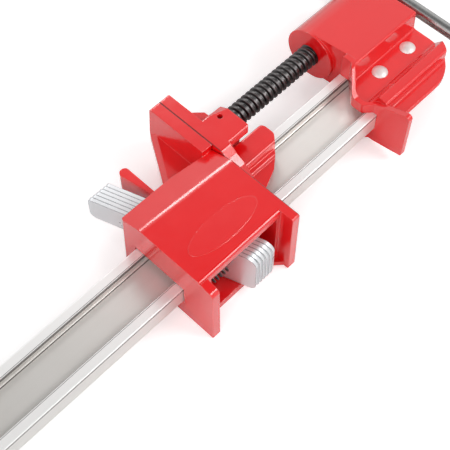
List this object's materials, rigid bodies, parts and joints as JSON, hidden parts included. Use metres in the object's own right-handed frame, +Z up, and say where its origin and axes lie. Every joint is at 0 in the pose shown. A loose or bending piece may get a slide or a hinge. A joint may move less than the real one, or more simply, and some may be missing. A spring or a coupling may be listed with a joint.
{
  "type": "steel bar clamp",
  "caption": "Steel I-bar clamp with red cast heads: a sliding tail jaw locked by tilting clutch plates, and a screw-driven front jaw with a sliding cross handle",
  "frame": {"origin": "middle of the sliding head's flat underside, on the bench that the clamp lies on", "axes": "+X along the bar towards the fixed head and the handle, +Y from the bar towards the jaws, +Z up from the bench"},
  "size_m": [0.8537, 0.1731, 0.061],
  "materials": {
    "red_enamel": "glossy red enamel over a fine cast surface",
    "zinc_plate": "pale satin zinc plating on blanked plates",
    "bare_bar_steel": "bright zinc plated rolled bar with fine lengthwise drawing marks",
    "bright_rivet_steel": "bright plated rivet heads",
    "black_oxide_steel": "oiled black oxide",
    "grey_handle_steel": "dull grey plated steel"
  },
  "bodies": {
    "frame": {"i_beam_bar": "bare_bar_steel", "bar_stop_pin": "black_oxide_steel", "fixed_head": "red_enamel", "head_rivet_near": "bright_rivet_steel", "head_rivet_far": "bright_rivet_steel"},
    "sliding_head": {"sliding_head": "red_enamel", "clutch_spring": "black_oxide_steel"},
    "moving_jaw": {"moving_jaw": "red_enamel", "screw_roll_pin": "black_oxide_steel"},
    "screw": {"clamp_screw": "black_oxide_steel", "screw_hub": "grey_handle_steel", "hub_pin": "grey_handle_steel"},
    "handle": {"handle_bar": "grey_handle_steel", "handle_cap_left": "grey_handle_steel", "handle_cap_right": "grey_handle_steel"},
    "clutch_plate_1": {"clutch_plate_1": "zinc_plate"},
    "clutch_plate_2": {"clutch_plate_2": "zinc_plate"},
    "clutch_plate_3": {"clutch_plate_3": "zinc_plate"},
    "clutch_plate_4": {"clutch_plate_4": "zinc_plate"},
    "clutch_plate_5": {"clutch_plate_5": "zinc_plate"},
    "clutch_plate_6": {"clutch_plate_6": "zinc_plate"}
  },
  "joints": [
    {"name": "sliding_head_slide", "type": "slide", "parent": "frame", "child": "sliding_head", "axis": [-1, 0, 0], "range_m": [0, 0.553]},
    {"name": "jaw_slide", "type": "slide", "parent": "frame", "child": "moving_jaw", "axis": [1, 0, 0], "range_m": [0, 0.0575]},
    {"name": "screw_turn", "type": "hinge", "parent": "moving_jaw", "child": "screw", "pos_m": [0.0556, 0.048, 0.0301], "axis": [1, 0, 0], "range_deg": [0, 4705]},
    {"name": "handle_slide", "type": "slide", "parent": "screw", "child": "handle", "axis": [0, 1, 0], "range_m": [-0.0538, 0.0538]},
    {"name": "plate_1_release", "type": "hinge", "parent": "sliding_head", "child": "clutch_plate_1", "pos_m": [-0.01062, 0, 0.02435], "axis": [0, 0, -1], "range_deg": [0, 2.5], "stiffness_Nm_per_rad": 0.4, "deforming": ["clutch_spring"]},
    {"name": "plate_2_release", "type": "hinge", "parent": "sliding_head", "child": "clutch_plate_2", "pos_m": [-0.00764, 0, 0.02435], "axis": [0, 0, -1], "range_deg": [0, 2.5]},
    {"name": "plate_3_release", "type": "hinge", "parent": "sliding_head", "child": "clutch_plate_3", "pos_m": [-0.00466, 0, 0.02435], "axis": [0, 0, -1], "range_deg": [0, 2.5]},
    {"name": "plate_4_release", "type": "hinge", "parent": "sliding_head", "child": "clutch_plate_4", "pos_m": [-0.00168, 0, 0.02435], "axis": [0, 0, -1], "range_deg": [0, 2.5]},
    {"name": "plate_5_release", "type": "hinge", "parent": "sliding_head", "child": "clutch_plate_5", "pos_m": [0.00131, 0, 0.02435], "axis": [0, 0, -1], "range_deg": [0, 2.5]},
    {"name": "plate_6_release", "type": "hinge", "parent": "sliding_head", "child": "clutch_plate_6", "pos_m": [0.00429, 0, 0.02435], "axis": [0, 0, -1], "range_deg": [0, 2.5]}
  ],
  "couplings": [
    {"joint": "screw_turn", "follows": "jaw_slide", "rad_per_m": 1428},
    {"joint": "plate_2_release", "follows": "plate_1_release", "ratio": 1},
    {"joint": "plate_3_release", "follows": "plate_1_release", "ratio": 1},
    {"joint": "plate_4_release", "follows": "plate_1_release", "ratio": 1},
    {"joint": "plate_5_release", "follows": "plate_1_release", "ratio": 1},
    {"joint": "plate_6_release", "follows": "plate_1_release", "ratio": 1}
  ]
}
